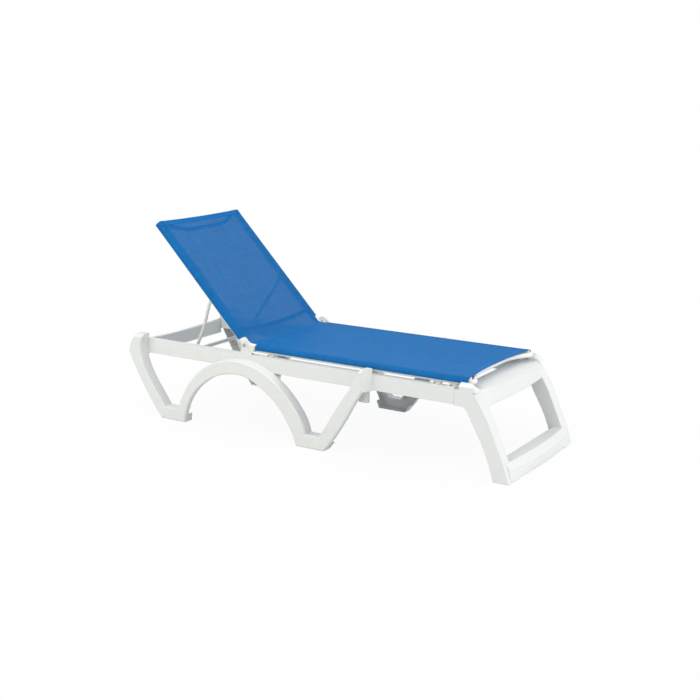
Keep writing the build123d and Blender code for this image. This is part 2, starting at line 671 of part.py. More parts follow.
def back_top_tube():
    entry = BACK_LENGTH - TUBE_ENTRY
    path = bowed_path(TOP_CORNER_S, TOP_TUBE_DIP, entry, lambda s, y: back_point(s, y))
    return swept_tube(path, back_plane(entry, -TUBE_Y))


def seat_cross_tube(x):
    """A straight tube whose ends are saddled to the side rails."""
    plane = Plane(origin=(x, -TUBE_Y, SEAT_Z), z_dir=(0, 1, 0))
    tube = extrude(plane * (Circle(CROSS_R) - Circle(CROSS_R - CROSS_WALL)), amount=2 * TUBE_Y)
    near = rod((x - TUBE_R, -TUBE_Y, SEAT_Z), (x + TUBE_R, -TUBE_Y, SEAT_Z), TUBE_R + WELD)
    return tube - near - left_of(near)


def back_lower_tube():
    """A gently bowed tube, saddled to the side rails."""
    ends = [back_point(LOWER_TUBE_S, -TUBE_Y), back_point(LOWER_TUBE_S, TUBE_Y)]
    middle = back_point(LOWER_TUBE_S - LOWER_TUBE_DIP, 0)
    path = ThreePointArc(ends[0], middle, ends[1])
    plane = Plane(origin=ends[0], z_dir=path % 0)
    tube = swept_tube(path, plane)
    start, end = LOWER_TUBE_S - 2 * TUBE_R, LOWER_TUBE_S + 2 * TUBE_R
    near = rod(back_point(start, -TUBE_Y), back_point(end, -TUBE_Y), TUBE_R + WELD)
    return tube - near - left_of(near)


def end_plug_section(radius):
    return plug_section() - Circle(radius)


def right_seat_end_plug():
    """The sleeve between the side rail and the cross tube."""
    sleeve = seat_section(end_plug_section(CROSS_R + WELD), SEAT_FOOT_X - TUBE_ENTRY, SEAT_FOOT_X)
    ring = Circle(TUBE_R) - Circle(CROSS_R + WELD)
    return sleeve + seat_section(ring, SEAT_FOOT_X, SEAT_FOOT_X + PLUG_FLANGE)


def right_back_end_plug():
    sleeve = back_section(end_plug_section(CROSS_R + WELD), BACK_LENGTH - TUBE_ENTRY, BACK_LENGTH)
    ring = Circle(TUBE_R) - Circle(CROSS_R + WELD)
    return sleeve + back_section(ring, BACK_LENGTH, BACK_LENGTH + PLUG_FLANGE)


# Hinge

def cheek_plate(inner_y, points):
    """A cheek round the hinge axis: the hull of a disc there and of discs at other points."""
    plane = side_plane(inner_y)
    face = Pos(HINGE_X, HINGE_Z) * Circle(KNUCKLE_R)
    for x, z, radius in points:
        away = math.hypot(x - HINGE_X, z - HINGE_Z)
        turn = math.degrees(math.atan2(z - HINGE_Z, x - HINGE_X))
        swing = math.degrees(math.acos((KNUCKLE_R - radius) / away))
        corners = []
        for side in (1, -1):
            a = math.radians(turn + side * swing)
            corners.append((HINGE_X + KNUCKLE_R * math.cos(a), HINGE_Z + KNUCKLE_R * math.sin(a)))
            corners.append((x + radius * math.cos(a), z + radius * math.sin(a)))
        first, second, fourth, third = corners[0], corners[1], corners[2], corners[3]
        face += make_face(Polyline(first, second, third, fourth, close=True).edges())
        face += Pos(x, z) * Circle(radius)
    plate = extrude(plane * face, amount=CHEEK)
    return plate - hinge_hole(BOLT_R + BOLT_RUNNING)


def hinge_hole(radius):
    return rod((HINGE_X, -TUBE_OUT_Y + CHEEK, HINGE_Z), (HINGE_X, -OUTER_Y, HINGE_Z), radius)


def right_seat_knuckle():
    """Plug, end cap and outer cheek of the hinge on the seat rail."""
    cap_x = SEAT_HEAD_X - PLUG_FLANGE
    plug = seat_section(plug_section(), SEAT_HEAD_X, SEAT_HEAD_X + PLUG_LENGTH)
    cap = seat_section(Circle(TUBE_R), cap_x, SEAT_HEAD_X)
    inner_y = TUBE_OUT_Y + 2 * CHEEK_GAP + CHEEK
    low, high = SEAT_Z - CHEEK_HALF, SEAT_Z + CHEEK_HALF
    arm = slab((cap_x, SEAT_HEAD_X), (-TUBE_Y, -inner_y - CHEEK), (low, high))
    cheek = cheek_plate(inner_y, [(cap_x, SEAT_Z, CHEEK_HALF)])
    return plug + cap + arm + cheek


def right_back_knuckle():
    """Plug, end cap and inner cheek of the hinge on the back rail."""
    tail = -BACK_TAIL
    plug = back_section(plug_section(), tail, tail + PLUG_LENGTH)
    cap = back_section(Circle(TUBE_R), tail - PLUG_FLANGE, tail)
    inner_y = TUBE_OUT_Y + CHEEK_GAP
    bar_width = inner_y + CHEEK - TUBE_Y
    bar = Pos(bar_width / 2, TAIL_LIFT) * Rectangle(bar_width, TAIL_WIDTH)
    arm = back_section(bar, tail - PLUG_FLANGE, tail)
    x, y, z = back_point(tail, 0, TAIL_LIFT)
    cheek = cheek_plate(inner_y, [(x, z, TAIL_WIDTH / 2)])
    return plug + cap + arm + cheek


def right_hinge_bracket():
    """The pedestal on the base that carries the hinge bolt."""
    inner_y = TUBE_OUT_Y + 3 * CHEEK_GAP + 2 * CHEEK
    start = HINGE_X + BRACKET_SHIFT - BRACKET_FOOT / 2
    end = start + BRACKET_FOOT
    foot_z = RAIL_TOP + BRACKET_PLATE
    foot = slab((start, end), (-TUBE_OUT_Y, -RAIL_Y), (RAIL_TOP, foot_z))
    reach = BRACKET_R
    outline = Polyline((start, foot_z - WELD), (end, foot_z - WELD), (HINGE_X + reach, HINGE_Z), (HINGE_X - reach, HINGE_Z),
                       close=True)
    face = make_face(outline.edges()) + Pos(HINGE_X, HINGE_Z) * Circle(reach)
    plate = extrude(side_plane(inner_y) * face, amount=BRACKET_WALL)
    bracket = foot + plate - hinge_hole(BOLT_R + BOLT_RUNNING)
    for hole in bracket_screw_set(SCREW_CLEAR):
        bracket -= hole
    return bracket


def right_hinge_bolt():
    """The hinge bolt, with a domed head outside the bracket."""
    start_y = -(TUBE_OUT_Y + CHEEK_GAP)
    seat_y = -(TUBE_OUT_Y + 3 * CHEEK_GAP + 2 * CHEEK + BRACKET_WALL)
    shank = rod((HINGE_X, start_y, HINGE_Z), (HINGE_X, seat_y, HINGE_Z), BOLT_R)
    head = rod((HINGE_X, seat_y, HINGE_Z), (HINGE_X, seat_y - BOLT_HEAD, HINGE_Z), BOLT_HEAD_R)
    head = chamfer(head.edges().sort_by(Axis.Y)[0], BOLT_HEAD / 2)
    return shank + head


# Saddles and racks

def right_saddles():
    """Cradles between the sling's side rail and the base."""
    parts = []
    for x in SADDLE_X:
        ends = (x - SADDLE_LENGTH / 2, x + SADDLE_LENGTH / 2)
        foot = slab(ends, (-SADDLE_IN_Y, -SADDLE_FOOT_Y), (RAIL_TOP, RAIL_TOP + SADDLE_PLATE))
        rise = slab(ends, (-SADDLE_IN_Y, -SADDLE_OUT_Y), (RAIL_TOP, RAIL_TOP + SADDLE_RISE))
        tube = rod((ends[0], -TUBE_Y, SEAT_Z), (ends[1], -TUBE_Y, SEAT_Z), TUBE_R + WELD)
        saddle = foot + rise - tube
        for hole in saddle_screw_set(SCREW_CLEAR):
            saddle -= hole
        parts.append(saddle)
    return parts


def rod_place(recline):
    """Where the prop's rod is after the back has turned by some degrees from rest, seen from the side."""
    start = back_point(PROP_PIVOT_S, 0)
    reach = math.hypot(PROP_X - start[0], PROP_Z - start[2])
    turned = math.radians(BACK_ANGLE + recline)
    x = HINGE_X - PROP_PIVOT_S * math.cos(turned) - TUBE_R * math.sin(turned)
    z = HINGE_Z + PROP_PIVOT_S * math.sin(turned) - TUBE_R * math.cos(turned)
    leg = math.atan2(PROP_Z - start[2], PROP_X - start[0])
    leg += math.radians((PROP_RATIO - 1) * recline)
    return (x + reach * math.cos(leg), z + reach * math.sin(leg))


def rack_reach():
    """Ends of the rack along X."""
    xs = [rod_place(step)[0] for step in RACK_STEPS]
    return min(xs) - RACK_END, max(xs) + RACK_END


def right_prop_rack():
    """A toothed rack: one slanted notch for each rest position of the prop."""
    start, end = rack_reach()
    places = [rod_place(step) for step in RACK_STEPS]
    slot = ROD_CAP_R + NOTCH_CLEAR
    low = min(z for x, z in places) - slot - RACK_FLOOR
    top = PROP_Z + RACK_RISE
    inner = PROP_ROD_HALF + RACK_GAP
    plate_y = RAIL_IN_Y - FIT - RACK_PLATE
    body = slab((start, end), (-inner, -RAIL_IN_Y + FIT), (low, top))
    plate = slab((start, end), (-plate_y, -RAIL_IN_Y + FIT), (low, RACK_TOP))
    plate = fillet(plate.edges().filter_by(Axis.Y), EDGE_ROUND)
    teeth = body
    for x, z in places:
        high = top + OVERRUN
        outline = Polyline((x - slot - RACK_RAMP, high), (x - slot, z), (x + slot, z), (x + slot, high), close=True)
        notch = make_face(outline.edges()) + Pos(x, z) * Circle(slot)
        teeth -= extrude(side_plane(plate_y) * notch, amount=-(plate_y - inner + OVERRUN))
    rack = teeth + plate
    for hole in rack_screw_set(SCREW_CLEAR):
        rack -= hole
    return rack


# Prop

def prop_point(t, y):
    """A point of the prop at rest: t from its pivots towards the rod."""
    x, _, z = back_point(PROP_PIVOT_S, 0)
    reach = math.hypot(PROP_X - x, PROP_Z - z)
    return (x + (PROP_X - x) * t / reach, y, z + (PROP_Z - z) * t / reach)


def prop_bail():
    """The U-shaped prop: two bent legs welded to a straight rod with plastic end caps."""
    x, _, z = back_point(PROP_PIVOT_S, 0)
    length = math.hypot(PROP_X - x, PROP_Z - z)
    points = [(PROP_EYE_R / 2, -PROP_TOP_Y), (PROP_STRAIGHT, -PROP_TOP_Y), (PROP_BEND, -PROP_BEND_Y), (length, -PROP_FOOT_Y)]
    path = FilletPolyline(*[prop_point(t, y) for t, y in points], radius=PROP_BEND_R)
    direction = Vector(PROP_X - x, 0, PROP_Z - z)
    leg = sweep(Plane(origin=path @ 0, z_dir=direction) * Circle(PROP_LEG_R), path=path)
    eye_in, eye_out = -PROP_TOP_Y + PROP_EYE / 2, -PROP_TOP_Y - PROP_EYE / 2
    leg -= rod((x, eye_in, z), (x, eye_in + 2 * PROP_R, z), PROP_EYE_R + PIN_HEAD)
    leg -= rod((x, eye_out, z), (x, eye_out - 2 * PROP_R, z), PROP_EYE_R + PIN_HEAD)
    eye = rod((x, eye_in, z), (x, eye_out, z), PROP_EYE_R)
    half = leg + eye
    half -= rod((x, eye_in + OVERRUN, z), (x, eye_out - OVERRUN, z), PIN_R + BOLT_RUNNING)
    bar = rod((PROP_X, -PROP_ROD_HALF, PROP_Z), (PROP_X, PROP_ROD_HALF, PROP_Z), PROP_R)
    cap = rod((PROP_X, -PROP_ROD_HALF, PROP_Z), (PROP_X, -PROP_ROD_HALF + ROD_CAP, PROP_Z), ROD_CAP_R)
    return bar + half + left_of(half) + cap + left_of(cap)


def right_prop_pivot():
    """The boss and headed pin on the back rail's inner side."""
    x, _, z = back_point(PROP_PIVOT_S, 0)
    eye_in, eye_out = -PROP_TOP_Y + PROP_EYE / 2, -PROP_TOP_Y - PROP_EYE / 2
    boss = rod((x, eye_out - CHEEK_GAP, z), (x, -TUBE_Y, z), BOSS_R)
    boss -= rod(back_point(PROP_PIVOT_S - 2 * BOSS_R, -TUBE_Y), back_point(PROP_PIVOT_S + 2 * BOSS_R, -TUBE_Y), TUBE_R + WELD)
    pin = rod((x, eye_in + CHEEK_GAP, z), (x, -TUBE_Y + BORE_R - TUBE_WALL / 2, z), PIN_R)
    head = rod((x, eye_in + CHEEK_GAP, z), (x, eye_in + CHEEK_GAP + PIN_HEAD, z), PIN_HEAD_R)
    return boss + pin + head


# Sling

def mesh_section(sag):
    """The mesh across the lounge: round each side rail's outer side and sagging between them."""
    turn = math.radians(MESH_WRAP)

    def edge_points(radius, depth):
        right = TUBE_Y + radius * math.sin(turn), radius * math.cos(turn)
        side = TUBE_Y + radius * math.sin(turn / 2), radius * math.cos(turn / 2)
        top = TUBE_Y, radius
        return right, side, top, (0, radius - depth)

    curves = []
    inner, outer = TUBE_R + SOFT_GAP, TUBE_R + SOFT_GAP + MESH
    rows = [edge_points(inner, sag), edge_points(outer, sag)]
    for right, side, top, middle in rows:
        flip = [(-p[0], p[1]) for p in (right, side, top)]
        curves += [ThreePointArc(right, side, top), ThreePointArc(top, middle, flip[2])]
        curves += [ThreePointArc(flip[2], flip[1], flip[0])]
    for sign in (1, -1):
        first, second = rows[0][0], rows[1][0]
        curves.append(Line((sign * first[0], first[1]), (sign * second[0], second[1])))
    return make_face([edge for curve in curves for edge in curve.edges()])


def sling_seat():
    plane = Plane(origin=(MESH_HEAD_X, 0, SEAT_Z), x_dir=(0, 1, 0), z_dir=(1, 0, 0))
    sheet = extrude(plane * mesh_section(MESH_SAG), amount=MESH_FOOT_X - MESH_HEAD_X)
    side = TUBE_Y + TUBE_R + MESH + OVERRUN
    arc = ThreePointArc((MESH_FOOT_X, -side), (MESH_FOOT_X - MESH_BOW, 0), (MESH_FOOT_X, side))
    far = Polyline((MESH_FOOT_X, side), (FRAME_FOOT_X, side), (FRAME_FOOT_X, -side), (MESH_FOOT_X, -side))
    cut = extrude(Plane.XY.offset(RAIL_TOP) * make_face(arc.edges() + far.edges()), amount=RAIL_HEIGHT)
    return sheet - cut


def sling_back():
    plane = back_plane(MESH_LOW_S, 0)
    return extrude(plane * mesh_section(MESH_SAG), amount=MESH_TOP_S - MESH_LOW_S)


def right_splines():
    """Edge cords in the grooves of the seat rail and of the back rail."""
    x, y = groove_place()
    cord = Pos(x, y) * Circle(SPLINE_R)
    return seat_section(cord, MESH_HEAD_X, SEAT_FOOT_X), back_section(cord, MESH_LOW_S, BACK_LENGTH)


# Assembly

def both(parts):
    """A list of right-hand pieces and their mirror images, as one group."""
    return Compound(children=list(parts) + [left_of(part) for part in parts])


def build():
    nodes = {}
    right = right_side_frame()
    nodes["right_side_frame"], nodes["left_side_frame"] = right, left_of(right)
    nodes["head_crossbar"] = head_crossbar()
    nodes["foot_end_frame"] = foot_end_frame()
    nodes["frame_screws"] = both(spigot_screws(0.0) + crossbar_screws())
    rack = right_prop_rack()
    nodes["right_prop_rack"], nodes["left_prop_rack"] = rack, left_of(rack)
    nodes["rack_screws"] = both(rack_screw_set())
    bracket = right_hinge_bracket()
    nodes["right_hinge_bracket"], nodes["left_hinge_bracket"] = bracket, left_of(bracket)
    nodes["bracket_screws"] = both(bracket_screw_set())
    nodes["seat_saddles"] = both(right_saddles())
    nodes["saddle_screws"] = both(saddle_screw_set())
    rail = right_seat_rail()
    nodes["right_seat_rail"], nodes["left_seat_rail"] = rail, left_of(rail)
    nodes["seat_foot_tube"] = seat_foot_tube()
    nodes["seat_middle_tube"] = seat_cross_tube(MID_TUBE_X)
    nodes["seat_head_tube"] = seat_cross_tube(SEAT_TUBE_X)
    nodes["seat_end_plugs"] = both([right_seat_end_plug()])
    knuckle = right_seat_knuckle()
    nodes["right_seat_knuckle"], nodes["left_seat_knuckle"] = knuckle, left_of(knuckle)
    nodes["hinge_bolts"] = both([right_hinge_bolt()])
    seat_cord, back_cord = right_splines()
    nodes["seat_edge_cords"], nodes["back_edge_cords"] = both([seat_cord]), both([back_cord])
    nodes["sling_seat"], nodes["sling_back"] = sling_seat(), sling_back()
    rail = right_back_rail()
    nodes["right_back_rail"], nodes["left_back_rail"] = rail, left_of(rail)
    nodes["back_top_tube"] = back_top_tube()
    nodes["back_lower_tube"] = back_lower_tube()
    nodes["back_end_plugs"] = both([right_back_end_plug()])
    knuckle = right_back_knuckle()
    nodes["right_back_knuckle"], nodes["left_back_knuckle"] = knuckle, left_of(knuckle)
    nodes["prop_pivots"] = both([right_prop_pivot()])
    nodes["prop_bail"] = prop_bail()
    return nodes


os.makedirs("parts", exist_ok=True)
for name, shape in build().items():
    export_step(shape, os.path.join("parts", name + ".step"))

print("prop pivot", [round(value, 4) for value in back_point(PROP_PIVOT_S, 0)])
print("rod places", [[round(value, 2) for value in rod_place(step)] for step in RACK_STEPS])
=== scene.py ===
import math

import bpy
import numpy as np
from mathutils import Matrix, Vector


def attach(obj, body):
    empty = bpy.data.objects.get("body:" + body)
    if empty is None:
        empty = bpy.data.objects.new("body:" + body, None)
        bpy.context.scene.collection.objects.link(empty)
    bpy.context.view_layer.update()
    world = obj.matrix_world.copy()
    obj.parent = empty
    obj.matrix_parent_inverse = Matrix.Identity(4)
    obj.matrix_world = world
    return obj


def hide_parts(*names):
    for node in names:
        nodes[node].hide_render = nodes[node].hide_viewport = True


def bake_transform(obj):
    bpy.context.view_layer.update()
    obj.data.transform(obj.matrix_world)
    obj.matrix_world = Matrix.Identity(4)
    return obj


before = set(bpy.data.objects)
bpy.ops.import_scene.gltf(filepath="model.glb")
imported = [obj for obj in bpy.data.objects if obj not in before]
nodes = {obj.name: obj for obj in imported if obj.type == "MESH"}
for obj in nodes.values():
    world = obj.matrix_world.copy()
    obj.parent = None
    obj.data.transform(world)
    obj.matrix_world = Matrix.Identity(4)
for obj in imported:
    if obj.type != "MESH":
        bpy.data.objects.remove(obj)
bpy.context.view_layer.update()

MM = 0.001

# What the cloth follows, in millimetres, as the solids have it
TUBE_R = 16.0
TUBE_Y = 270.0
SEAT_Z = 371.0
HINGE_X, HINGE_Z = -324.0, 387.0
BACK_ANGLE = math.radians(45.7)

# Cloth, in millimetres
CLOTH_GAP = 0.5          # between tube and cloth
CLOTH_THICK = 1.3
CLOTH_SAG = 4.5          # in the middle between the side rails
WRAP = math.radians(106.0)
CLOTH_FOOT = 1080.0      # from the hinge to the corners of the front edge
FOOT_BOW = 26.0          # how far the front edge bows in
BOW_START = 260.0        # from the hinge to where the rows begin to take up that bow
CLOTH_TOP = 699.0        # from the hinge to the straight top edge
FOLD_AT_RAIL = 14.0      # how far the fold's curve reaches either way at the rails
FOLD_FURTHER = 34.0      # and how much further in the middle
FREE_EDGE = -9.0         # where the free edge runs at the hinge, out from the rail's top line
FREE_START = -50.0       # where the cloth begins to draw in, along from the hinge
FREE_END = 33.0          # where it begins to widen again
FREE_EASE = 13.0         # length of either change
HEM = 26.0
HEM_THICK = 0.5
HEM_GAP = 0.05           # between cloth and hem
HEM_STEP_IN = 0.4        # hem's edge behind the cloth's
SLEEVE = 250.0           # inner edge of the doubled sleeves along the side rails, from the middle, and of their painted shade
SLEEVE_BLUR = 1.5        # half the width over which a sleeve's edge fades

# Weave, in millimetres
YARN_PITCH = 5.0         # real pitch is 2 mm, drawn coarser so that it shows
SLUB = 12.0              # width of a streak of slightly thicker yarns
SPECKLE = 9.0            # patches of tighter and looser weave

# Openness of the weave, as shares
HOLE_START, HOLE_FULL = 0.85, 1.15   # heights of a wave, less the openness, between which a hole opens
HOLE_CLEARER = 0.5                   # how much more a hole lets through than the yarns
FACING_EYE, FACING_AWAY = 0.5, 0.85  # between these the slant of the view closes the holes
GLANCING_OPEN = 0.1                  # what is still open then

# Steps of the cloth's grid, in millimetres
COLUMNS = 121
ROW_STEP = 12.0
FOLD_STEP = 2.5
FOLD_ROWS = 60.0         # finer rows up to here either side of the hinge
HEM_ROW_STEP = 3.0
CROWDING = 1.25          # how much denser the columns are towards the edges

EDGE_SAMPLES = 8         # of the shading that rounds an edge


def new_object(name, data):
    obj = bpy.data.objects.new(name, data)
    bpy.context.scene.collection.objects.link(obj)
    return obj


def grid_object(name, points, uv=None):
    """A surface from an array of points, rows by columns by 3, with a UV for each point."""
    rows, columns = points.shape[:2]
    index = np.arange(rows * columns).reshape(rows, columns)
    corners = [index[:-1, :-1], index[:-1, 1:], index[1:, 1:], index[1:, :-1]]
    quads = np.stack(corners, -1).reshape(-1, 4)
    mesh = bpy.data.meshes.new(name)
    mesh.from_pydata((points.reshape(-1, 3) * MM).tolist(), [], quads.tolist())
    if uv is not None:
        layer = mesh.uv_layers.new(name="cloth")
        owner = np.zeros(len(mesh.loops), np.int32)
        mesh.loops.foreach_get("vertex_index", owner)
        layer.data.foreach_set("uv", (uv.reshape(-1, 2)[owner] * MM).astype(np.float32).ravel())
    mesh.polygons.foreach_set("use_smooth", np.ones(len(mesh.polygons), bool))
    mesh.update()
    return new_object(name, mesh)


# Sling

def smooth(t):
    """Ease from 0 to 1: 3t^2 - 2t^3, held outside."""
    t = np.clip(t, 0.0, 1.0)
    return t * t * (3 - 2 * t)


def cloth_points(q, t, lift=0.0):
    """Cloth coordinates to space. q is the distance across from the middle and t along from the hinge,
    negative on the seat. Between the rails the cloth hangs in a parabola, -CLOTH_SAG (1 - across^2).
    Past a rail's top line it follows a circle round the rail. At the hinge a quadratic Bezier curve,
    (1 - w)^2 low + 2w (1 - w) middle + w^2 high, joins the two planes. It is wider in the middle,
    where the pull along the cloth lifts it off the fold."""
    radius = TUBE_R + CLOTH_GAP + CLOTH_THICK / 2 + lift
    over = np.maximum(np.abs(q) - TUBE_Y, 0.0) / (TUBE_R + CLOTH_GAP)
    across = np.clip(np.abs(q) / TUBE_Y, 0, 1)
    y = np.sign(q) * (np.minimum(np.abs(q), TUBE_Y) + radius * np.sin(over))
    over_centre = radius * np.cos(over) - CLOTH_SAG * (1 - across ** 2)
    # Height over the rails' top lines. On the back, what wraps lower than the sag is set off square
    # to the rail, so that it stays round it.
    height = over_centre - TUBE_R
    held = np.clip(height, -CLOTH_SAG, radius)
    below = height - held
    along_x, along_z = -math.cos(BACK_ANGLE), math.sin(BACK_ANGLE)
    fold_x, fold_z = HINGE_X + np.tan(BACK_ANGLE / 2) * held, SEAT_Z + over_centre
    back_x = fold_x + t * along_x + below * math.sin(BACK_ANGLE)
    back_z = HINGE_Z + held + t * along_z + below * math.cos(BACK_ANGLE)
    x = np.where(t < 0, fold_x - t, back_x)
    z = np.where(t < 0, fold_z, back_z)
    reach = FOLD_AT_RAIL + FOLD_FURTHER * (1 - across ** 2)
    w = np.clip((t + reach) / (2 * reach), 0, 1)[..., None]
    low = np.stack([fold_x + reach, fold_z], -1)
    middle = np.stack([fold_x, fold_z], -1)
    high = np.stack([fold_x + reach * along_x, fold_z + reach * along_z], -1)
    curve = (1 - w) ** 2 * low + 2 * w * (1 - w) * middle + w ** 2 * high
    near = np.abs(t) < reach
    x = np.where(near, curve[..., 0], x)
    z = np.where(near, curve[..., 1], z)
    return np.stack([x, y, z], -1)


def half_width(t):
    """How far the cloth reaches across: round the rails, but drawn in past the hinge's knuckles."""
    full = TUBE_Y + (TUBE_R + CLOTH_GAP) * WRAP
    free = TUBE_Y + FREE_EDGE
    drawn_in = smooth((t - FREE_START) / FREE_EASE) * (1 - smooth((t - FREE_END) / FREE_EASE))
    return full + (free - full) * drawn_in


def cloth_grid(t_rows, lift=0.0):
    """The cloth at given rows, with its columns denser round the rails. Returns places and UVs."""
    side = np.linspace(-1, 1, COLUMNS)
    share = np.sign(side) * (1 - (1 - np.abs(side)) ** CROWDING)
    t, share = np.meshgrid(t_rows, share, indexing="ij")
    q = share * half_width(t)
    bow = FOOT_BOW * np.clip(1 - (q / (TUBE_Y + TUBE_R)) ** 2, 0, 1)
    t = t + bow * np.clip((-t - BOW_START) / (CLOTH_FOOT - BOW_START), 0, 1)
    return cloth_points(q, t, lift), np.stack([q, t], -1)


def cloth_rows(start, end, step):
    return np.linspace(start, end, max(2, int(round(abs(end - start) / step)) + 1))


def thicken(obj, thickness):
    wall = obj.modifiers.new("thickness", "SOLIDIFY")
    wall.thickness = thickness * MM
    wall.offset = 0


def hem_object(name, start, end):
    """A folded and welded hem, on top of the cloth."""
    lift = CLOTH_THICK / 2 + HEM_THICK / 2 + HEM_GAP
    hem = grid_object(name, *cloth_grid(cloth_rows(start, end, HEM_ROW_STEP), lift))
    thicken(hem, HEM_THICK)
    return hem


rows = np.unique(np.concatenate([
    cloth_rows(-CLOTH_FOOT, -FOLD_ROWS, ROW_STEP),
    cloth_rows(-FOLD_ROWS, FOLD_ROWS, FOLD_STEP),
    cloth_rows(FOLD_ROWS, CLOTH_TOP, ROW_STEP),
]))
sling = grid_object("sling_cloth", *cloth_grid(rows))
thicken(sling, CLOTH_THICK)
foot_hem = hem_object("foot_hem", -CLOTH_FOOT + HEM_STEP_IN, -CLOTH_FOOT + HEM)
head_hem = hem_object("head_hem", CLOTH_TOP - HEM, CLOTH_TOP - HEM_STEP_IN)


# Materials

def srgb(code):
    """A hex colour as linear red, green, blue and alpha."""
    values = [int(code[i:i + 2], 16) / 255 for i in (1, 3, 5)]
    return [v / 12.92 if v <= 0.04045 else ((v + 0.055) / 1.055) ** 2.4 for v in values] + [1.0]


def shaded(code, share):
    """A hex colour times a share, held at 1."""
    return [min(v * share, 1.0) for v in srgb(code)[:3]] + [1.0]


def add(tree, kind, links=None, **settings):
    """Adds a node. Settings whose name is a socket's set its value; links join it to other outputs."""
    node = tree.nodes.new(kind)
    for name, value in settings.items():
        if hasattr(node, name):
            setattr(node, name, value)
        else:
            node.inputs[name.replace("_", " ")].default_value = value
    for name, source in (links or {}).items():
        tree.links.new(source, node.inputs[name])
    return node


def reckon(tree, operation, first, second=None):
    """The result of a maths node. Its values are outputs of other nodes, or the second a number."""
    node = add(tree, "ShaderNodeMath", {0: first}, operation=operation)
    if isinstance(second, float):
        node.inputs[1].default_value = second
    elif second is not None:
        tree.links.new(second, node.inputs[1])
    return node.outputs[0]


def spread(tree, value, **limits):
    """A value moved from one range to another, 0 to 1 where none is given."""
    return add(tree, "ShaderNodeMapRange", {"Value": value}, **limits).outputs["Result"]


def noise(tree, place, width, detail):
    """Noise with marks of about the given width, in metres."""
    texture = add(tree, "ShaderNodeTexNoise", {"Vector": place}, Scale=1 / width, Detail=detail)
    return texture.outputs["Fac"]


def ramp(tree, value, low, high, start=0.0, end=1.0):
    """A colour between two, by a value between start and end."""
    node = add(tree, "ShaderNodeValToRGB", {"Fac": value})
    for element, colour, position in zip(node.color_ramp.elements, (low, high), (start, end)):
        element.color, element.position = colour, position
    return node.outputs["Color"]


def material(name):
    made = bpy.data.materials.new(name)
    made.use_nodes = True
    made.node_tree.nodes.clear()
    return made, made.node_tree


def show(tree, shader, kind="ShaderNodeOutputMaterial"):
    tree.links.new(shader.outputs[0], tree.nodes.new(kind).inputs["Surface"])


def moulded_resin(name, colour, roughness, edge=0.003):
    """Injection-moulded polypropylene: a fine spark-eroded grain of about 0.6 mm gives a soft satin
    gloss, and slow flow marks over some 60 mm shift its shade a little. Its edges are rounded."""
    made, tree = material(name)
    place = add(tree, "ShaderNodeTexCoord").outputs["Object"]
    grain = noise(tree, place, width=0.0006, detail=2.0)
    flow = noise(tree, place, width=0.06, detail=3.0)
    shade = ramp(tree, flow, shaded(colour, share=0.98), srgb(colour), start=0.3, end=0.7)
    rough = spread(tree, flow, To_Min=roughness - 0.05, To_Max=roughness + 0.06)
    round_edge = add(tree, "ShaderNodeBevel", samples=EDGE_SAMPLES, Radius=edge)
    bump = add(tree, "ShaderNodeBump", {"Height": grain, "Normal": round_edge.outputs[0]},
               Strength=0.16, Distance=0.0002)
    links = {"Base Color": shade, "Roughness": rough, "Normal": bump.outputs[0]}
    show(tree, add(tree, "ShaderNodeBsdfPrincipled", links, IOR=1.49))
    return made


def powder_coat(name, colour):
    """White polyester powder coat on aluminium: glossier than the resin, with orange peel about 3 mm
    across and a faint film of dust."""
    made, tree = material(name)
    place = add(tree, "ShaderNodeTexCoord").outputs["Object"]
    peel = noise(tree, place, width=0.003, detail=1.0)
    dust = noise(tree, place, width=0.04, detail=3.0)
    shade = ramp(tree, dust, shaded(colour, share=0.93), srgb(colour))
    bump = add(tree, "ShaderNodeBump", {"Height": peel}, Strength=0.12, Distance=0.0002)
    links = {"Base Color": shade, "Normal": bump.outputs[0]}
    show(tree, add(tree, "ShaderNodeBsdfPrincipled", links, Roughness=0.3, IOR=1.5))
    return made


def zinc_steel(name):
    """Zinc-plated steel: bright, with a patchy passivated film that changes its gloss over about 2 mm."""
    made, tree = material(name)
    place = add(tree, "ShaderNodeTexCoord").outputs["Object"]
    film = noise(tree, place, width=0.002, detail=4.0)
    shade = ramp(tree, film, srgb("#8C8F93"), srgb("#B9BCBF"))
    rough = spread(tree, film, To_Min=0.28, To_Max=0.5)
    links = {"Base Color": shade, "Roughness": rough}
    show(tree, add(tree, "ShaderNodeBsdfPrincipled", links, Metallic=1.0))
    return made


def weave_opening(tree, waves, across, openness):
    """How much of what is behind the weave lets through: most in the holes, where both waves are high, and
    where the cloth faces the eye, and nothing in the welded sleeves.
    Returns that, and a mask that is 1 where the cloth is one layer and 0 in the sleeves, which also places
    the painted shade of the rails under the sleeves."""
    gaps = [spread(tree, wave, From_Min=HOLE_START - openness, From_Max=HOLE_FULL - openness)
            for wave in waves]
    holes = spread(tree, reckon(tree, "MULTIPLY", *gaps), To_Min=openness / 2,
                   To_Max=openness / 2 + HOLE_CLEARER)
    glancing = add(tree, "ShaderNodeLayerWeight", Blend=0.5).outputs["Facing"]
    facing = spread(tree, glancing, From_Min=FACING_EYE, From_Max=FACING_AWAY, To_Min=1.0,
                    To_Max=GLANCING_OPEN)
    side = reckon(tree, "ABSOLUTE", across)
    single_and_unshaded = spread(tree, side, From_Min=(SLEEVE + SLEEVE_BLUR) * MM, From_Max=(SLEEVE - SLEEVE_BLUR) * MM,
                    To_Min=0.0, To_Max=1.0)
    return reckon(tree, "MULTIPLY", reckon(tree, "MULTIPLY", holes, facing), single_and_unshaded), single_and_unshaded


